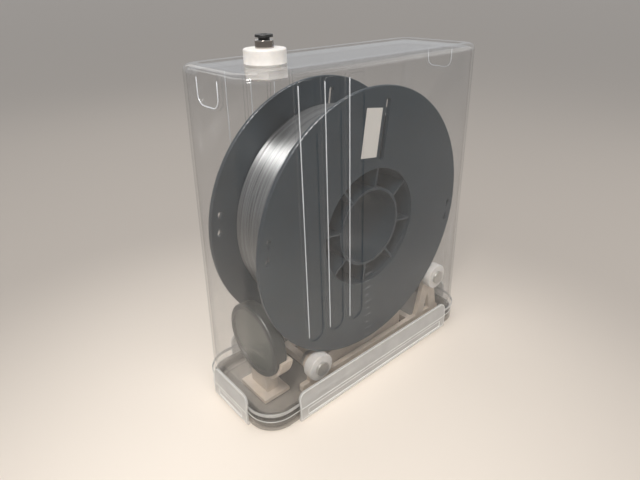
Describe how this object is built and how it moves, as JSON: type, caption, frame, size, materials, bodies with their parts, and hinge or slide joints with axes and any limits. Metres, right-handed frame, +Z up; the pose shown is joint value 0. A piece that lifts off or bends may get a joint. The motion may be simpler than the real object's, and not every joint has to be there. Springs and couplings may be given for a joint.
{
  "type": "filament dryer box",
  "caption": "Clear box upside down on its lid, with flap catches, a filament spool on rollers, a tube outlet on top, a hygrometer and drying beads.",
  "frame": {"origin": "centre of the footprint on the table", "axes": "+Z up, X along the wide side, -Y out of the wide front wall, hygrometer at the -X end"},
  "size_m": [0.2296, 0.0916, 0.2564],
  "materials": {
    "clear_plastic": "clear",
    "lid_plastic": "milky",
    "flap_plastic": "milky",
    "gasket_rubber": "matt",
    "printed_white": "layered",
    "printed_natural": "layered",
    "roller_white": "satin",
    "nickel": "bright",
    "black_plastic": "satin",
    "spool_plastic": "satin",
    "paper": "matt",
    "filament": "translucent",
    "steel": "plated",
    "beads": "beaded",
    "meter_plastic": "satin",
    "display": "plain",
    "window": "clear"
  },
  "bodies": {
    "lid": {"lid_plate": "lid_plastic", "lid_gasket": "gasket_rubber", "cradle_frame_front": "printed_natural", "cradle_frame_rear": "printed_natural", "cradle_tie_bars": "printed_natural", "roller_axle_screws": "steel", "roller_axle_nuts": "steel", "desiccant_tray": "printed_natural", "desiccant_beads": "beads", "desiccant_cover": "printed_natural", "hygrometer_case": "meter_plastic", "hygrometer_display": "display", "hygrometer_lens": "window", "hygrometer_holder": "printed_natural"},
    "hood": {"container_shell": "clear_plastic", "outlet_boss": "printed_white", "outlet_nut": "printed_white", "fitting_body": "nickel", "fitting_o_ring": "gasket_rubber"},
    "collet": {"fitting_collet": "black_plastic"},
    "spool": {"spool_flange_front": "spool_plastic", "spool_flange_rear": "spool_plastic", "spool_hub": "spool_plastic", "spool_label": "paper", "filament_core": "filament", "filament_winding": "filament"},
    "flap_front": {"flap_front": "flap_plastic"},
    "flap_rear": {"flap_rear": "flap_plastic"},
    "flap_left": {"flap_left": "flap_plastic"},
    "flap_right": {"flap_right": "flap_plastic"},
    "roller_front_left": {"roller_front_left": "roller_white"},
    "roller_front_right": {"roller_front_right": "roller_white"},
    "roller_rear_left": {"roller_rear_left": "roller_white"},
    "roller_rear_right": {"roller_rear_right": "roller_white"}
  },
  "joints": [
    {"name": "hood_lift", "type": "slide", "parent": "lid", "child": "hood", "axis": [0, 0, 1], "range_m": [0, 0.24]},
    {"name": "collet_press", "type": "slide", "parent": "hood", "child": "collet", "axis": [0, 0, -1], "range_m": [0, 0.0011], "stiffness_N_per_m": 600},
    {"name": "spool_spin", "type": "hinge", "parent": "lid", "child": "spool", "pos_m": [0, 0, 0.123], "axis": [0, 1, 0], "continuous": true},
    {"name": "flap_front_hinge", "type": "hinge", "parent": "lid", "child": "flap_front", "pos_m": [0, -0.0444, 0.0019], "axis": [1, 0, 0], "range_deg": [0, 90]},
    {"name": "flap_rear_hinge", "type": "hinge", "parent": "lid", "child": "flap_rear", "pos_m": [0, 0.0444, 0.0019], "axis": [-1, 0, 0], "range_deg": [0, 90]},
    {"name": "flap_left_hinge", "type": "hinge", "parent": "lid", "child": "flap_left", "pos_m": [-0.1134, 0, 0.0019], "axis": [0, -1, 0], "range_deg": [0, 90]},
    {"name": "flap_right_hinge", "type": "hinge", "parent": "lid", "child": "flap_right", "pos_m": [0.1134, 0, 0.0019], "axis": [0, 1, 0], "range_deg": [0, 90]},
    {"name": "roller_front_left_spin", "type": "hinge", "parent": "lid", "child": "roller_front_left", "pos_m": [-0.05396, -0.0299, 0.02566], "axis": [0, 1, 0], "continuous": true},
    {"name": "roller_front_right_spin", "type": "hinge", "parent": "lid", "child": "roller_front_right", "pos_m": [0.08271, -0.0299, 0.04853], "axis": [0, 1, 0], "continuous": true},
    {"name": "roller_rear_left_spin", "type": "hinge", "parent": "lid", "child": "roller_rear_left", "pos_m": [-0.05396, 0.0299, 0.02566], "axis": [0, 1, 0], "continuous": true},
    {"name": "roller_rear_right_spin", "type": "hinge", "parent": "lid", "child": "roller_rear_right", "pos_m": [0.08271, 0.0299, 0.04853], "axis": [0, 1, 0], "continuous": true}
  ],
  "couplings": [
    {"joint": "roller_front_left_spin", "follows": "spool_spin", "ratio": -9.0909},
    {"joint": "roller_front_right_spin", "follows": "spool_spin", "ratio": -9.0909},
    {"joint": "roller_rear_left_spin", "follows": "spool_spin", "ratio": -9.0909},
    {"joint": "roller_rear_right_spin", "follows": "spool_spin", "ratio": -9.0909}
  ]
}
